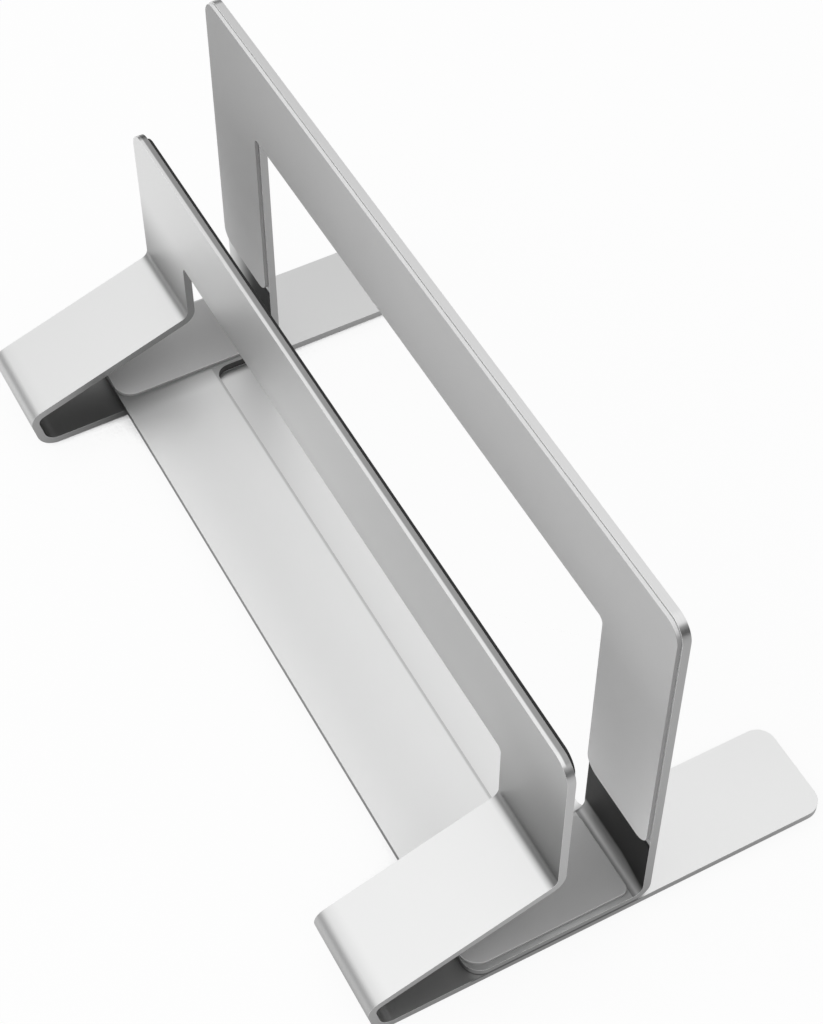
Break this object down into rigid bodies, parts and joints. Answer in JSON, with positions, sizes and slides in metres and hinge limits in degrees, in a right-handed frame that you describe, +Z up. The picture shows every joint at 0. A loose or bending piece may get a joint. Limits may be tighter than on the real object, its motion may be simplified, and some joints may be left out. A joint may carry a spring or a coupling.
{
  "type": "vertical laptop stand",
  "caption": "Folded aluminium stand that holds a closed laptop upright between a low front panel and a tall open frame, which slides to set the width of the slot.",
  "frame": {"origin": "middle of the footprint, on the surface that the stand rests on", "axes": "+X along the stand, to the right of someone who faces the front panel; +Y from the front panel to the rear frame, in depth; +Z up"},
  "size_m": [0.21, 0.1174, 0.1055],
  "materials": {
    "satin_aluminium": "bead-blasted and clear anodised",
    "grey_silicone": "matt silicone, stuck to the sheet",
    "foot_silicone": "matt silicone",
    "steel_fastener": "bright zinc-plated steel"
  },
  "bodies": {
    "bracket": {"front_bracket": "satin_aluminium", "panel_pad": "grey_silicone", "foot_pad_front_left": "foot_silicone", "foot_pad_front_right": "foot_silicone", "foot_pad_back_left": "foot_silicone", "foot_pad_back_right": "foot_silicone"},
    "frame": {"rear_frame": "satin_aluminium", "frame_pad": "grey_silicone", "seat_pad_left": "grey_silicone", "seat_pad_right": "grey_silicone", "clamp_screw_front_left": "steel_fastener", "clamp_screw_front_right": "steel_fastener", "clamp_screw_back_left": "steel_fastener", "clamp_screw_back_right": "steel_fastener", "washer_front_left": "steel_fastener", "washer_front_right": "steel_fastener", "washer_back_left": "steel_fastener", "washer_back_right": "steel_fastener", "flush_nut_front_left": "steel_fastener", "flush_nut_front_right": "steel_fastener", "flush_nut_back_left": "steel_fastener", "flush_nut_back_right": "steel_fastener"}
  },
  "joints": [
    {"name": "slot_width_slide", "type": "slide", "parent": "bracket", "child": "frame", "axis": [0, 1, 0], "range_m": [-0.006, 0.01]}
  ]
}
